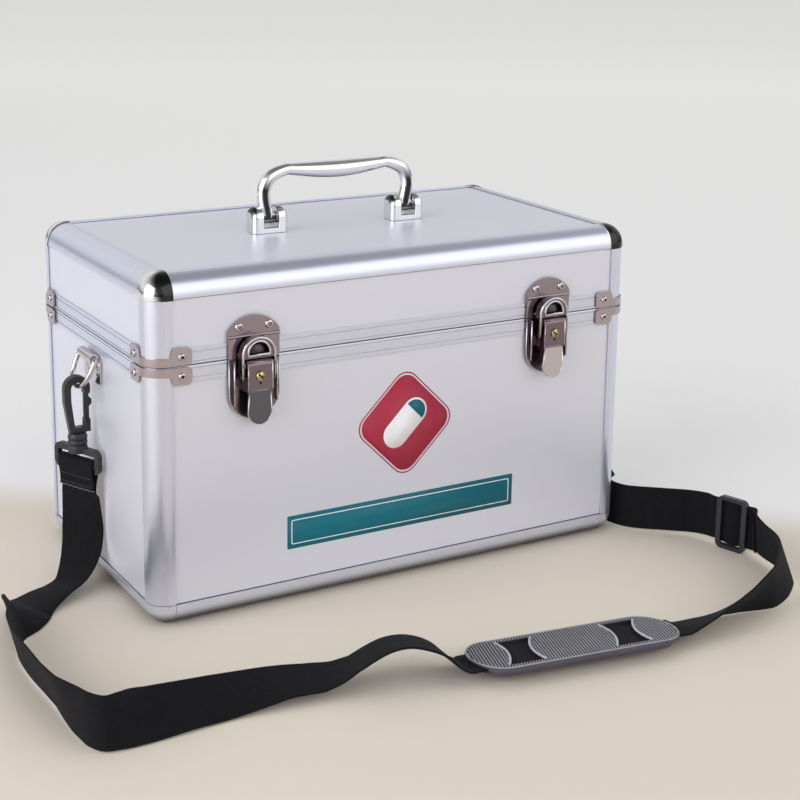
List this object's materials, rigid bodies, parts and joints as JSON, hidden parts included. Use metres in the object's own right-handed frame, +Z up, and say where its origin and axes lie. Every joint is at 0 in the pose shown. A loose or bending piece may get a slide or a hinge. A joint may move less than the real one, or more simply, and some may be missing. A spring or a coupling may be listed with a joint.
{
  "type": "medication lock box",
  "caption": "Aluminium-framed carry case with hinged lid, keyed draw latches, folding top handle, side rings and a hooked webbing shoulder strap with pad and slider.",
  "frame": {"origin": "centre of the footprint of the case and its fittings, on the surface that it stands on", "axes": "+Z up; the latches face -Y; +X runs to the right of the case as seen from the front"},
  "size_m": [0.5278, 0.3997, 0.2797],
  "materials": {
    "panel": "aluminium-faced board, satin silver",
    "rail": "satin anodised extrusion",
    "chrome": "bright plated",
    "nickel": "bright nickel plated",
    "brass": "brass",
    "black_plastic": "black moulded plastic",
    "webbing": "black ribbed webbing",
    "rubber": "dark grey ribbed rubber"
  },
  "bodies": {
    "case": {"body_front_panel": "panel", "body_back_panel": "panel", "body_left_panel": "panel", "body_right_panel": "panel", "body_floor_panel": "panel", "body_post_front_left": "rail", "body_post_back_left": "rail", "body_post_front_right": "rail", "body_post_back_right": "rail", "body_bottom_frame": "rail", "body_rim": "rail", "body_clasp_left": "nickel", "latch_base_left": "nickel", "hinge_body_leaf_left": "nickel", "ring_tab_left": "nickel", "body_clasp_right": "nickel", "latch_base_right": "nickel", "hinge_body_leaf_right": "nickel", "ring_tab_right": "nickel", "shoulder_strap": "webbing"},
    "lid": {"lid_front_panel": "panel", "lid_back_panel": "panel", "lid_left_panel": "panel", "lid_right_panel": "panel", "lid_top_panel": "panel", "lid_post_front_left": "rail", "lid_cap_front_left": "chrome", "lid_post_back_left": "rail", "lid_cap_back_left": "chrome", "lid_post_front_right": "rail", "lid_cap_front_right": "chrome", "lid_post_back_right": "rail", "lid_cap_back_right": "chrome", "lid_top_frame": "rail", "lid_rim": "rail", "lid_clasp_left": "nickel", "latch_strike_left": "nickel", "hinge_lid_leaf_left": "nickel", "handle_bracket_left": "chrome", "lid_clasp_right": "nickel", "latch_strike_right": "nickel", "hinge_lid_leaf_right": "nickel", "handle_bracket_right": "chrome"},
    "latch_left": {"latch_lever_left": "nickel"},
    "link_left": {"latch_link_left": "nickel"},
    "key_left": {"key_plug_left": "brass"},
    "hanger_left": {"side_ring_left": "nickel", "hook_eye_left": "black_plastic"},
    "hook_left": {"snap_hook_left": "black_plastic"},
    "gate_left": {"hook_gate_left": "black_plastic"},
    "latch_right": {"latch_lever_right": "nickel"},
    "link_right": {"latch_link_right": "nickel"},
    "key_right": {"key_plug_right": "brass"},
    "hanger_right": {"side_ring_right": "nickel", "hook_eye_right": "black_plastic"},
    "hook_right": {"snap_hook_right": "black_plastic"},
    "gate_right": {"hook_gate_right": "black_plastic"},
    "handle": {"handle_bail": "chrome"},
    "slider": {"strap_slider": "black_plastic"},
    "pad": {"shoulder_pad": "rubber"}
  },
  "joints": [
    {"name": "lid_hinge", "type": "hinge", "parent": "case", "child": "lid", "pos_m": [0, 0.10755, 0.1745], "axis": [-1, 0, 0], "range_deg": [0, 100]},
    {"name": "handle_fold", "type": "hinge", "parent": "lid", "child": "handle", "pos_m": [0, 0.00255, 0.242], "axis": [1, 0, 0], "range_deg": [-88, 88]},
    {"name": "latch_lever_left", "type": "hinge", "parent": "case", "child": "latch_left", "pos_m": [-0.114, -0.10555, 0.171], "axis": [-1, 0, 0], "range_deg": [0, 100]},
    {"name": "latch_link_left", "type": "hinge", "parent": "latch_left", "child": "link_left", "pos_m": [-0.114, -0.10555, 0.163], "axis": [-1, 0, 0], "range_deg": [-88, 0]},
    {"name": "key_turn_left", "type": "hinge", "parent": "latch_left", "child": "key_left", "pos_m": [-0.114, -0.10555, 0.1644], "axis": [0, 1, 0], "range_deg": [0, 90]},
    {"name": "ring_swing_left", "type": "hinge", "parent": "case", "child": "hanger_left", "pos_m": [-0.1882, 0.00255, 0.1595], "axis": [0, 1, 0], "range_deg": [0, 20], "deforming": ["shoulder_strap"]},
    {"name": "hook_swivel_left", "type": "hinge", "parent": "hanger_left", "child": "hook_left", "pos_m": [-0.197, 0.00255, 0.107], "axis": [0, 0, 1], "range_deg": [-20, 20]},
    {"name": "hook_gate_left", "type": "hinge", "parent": "hook_left", "child": "gate_left", "pos_m": [-0.1905, 0.00255, 0.114], "axis": [0, -1, 0], "range_deg": [0, 15], "stiffness_Nm_per_rad": 0.02, "springref_deg": -17.19},
    {"name": "latch_lever_right", "type": "hinge", "parent": "case", "child": "latch_right", "pos_m": [0.114, -0.10555, 0.171], "axis": [-1, 0, 0], "range_deg": [0, 100]},
    {"name": "latch_link_right", "type": "hinge", "parent": "latch_right", "child": "link_right", "pos_m": [0.114, -0.10555, 0.163], "axis": [-1, 0, 0], "range_deg": [-88, 0]},
    {"name": "key_turn_right", "type": "hinge", "parent": "latch_right", "child": "key_right", "pos_m": [0.114, -0.10555, 0.1644], "axis": [0, 1, 0], "range_deg": [0, 90]},
    {"name": "ring_swing_right", "type": "hinge", "parent": "case", "child": "hanger_right", "pos_m": [0.1882, 0.00255, 0.1595], "axis": [0, -1, 0], "range_deg": [0, 20], "deforming": ["shoulder_strap"]},
    {"name": "hook_swivel_right", "type": "hinge", "parent": "hanger_right", "child": "hook_right", "pos_m": [0.197, 0.00255, 0.107], "axis": [0, 0, 1], "range_deg": [-20, 20]},
    {"name": "hook_gate_right", "type": "hinge", "parent": "hook_right", "child": "gate_right", "pos_m": [0.1905, 0.00255, 0.114], "axis": [0, 1, 0], "range_deg": [0, 15], "stiffness_Nm_per_rad": 0.02, "springref_deg": -17.19},
    {"name": "slider_slide", "type": "slide", "parent": "case", "child": "slider", "axis": [-0.2756, 0.9613, 0], "range_m": [-0.01, 0.01], "deforming": ["shoulder_strap"]},
    {"name": "pad_slide", "type": "slide", "parent": "case", "child": "pad", "axis": [0.9903, -0.1392, 0], "range_m": [-0.01, 0.01], "deforming": ["shoulder_strap"]}
  ],
  "couplings": [
    {"joint": "latch_link_left", "follows": "latch_lever_left", "ratio": -0.87},
    {"joint": "latch_link_right", "follows": "latch_lever_right", "ratio": -0.87}
  ]
}
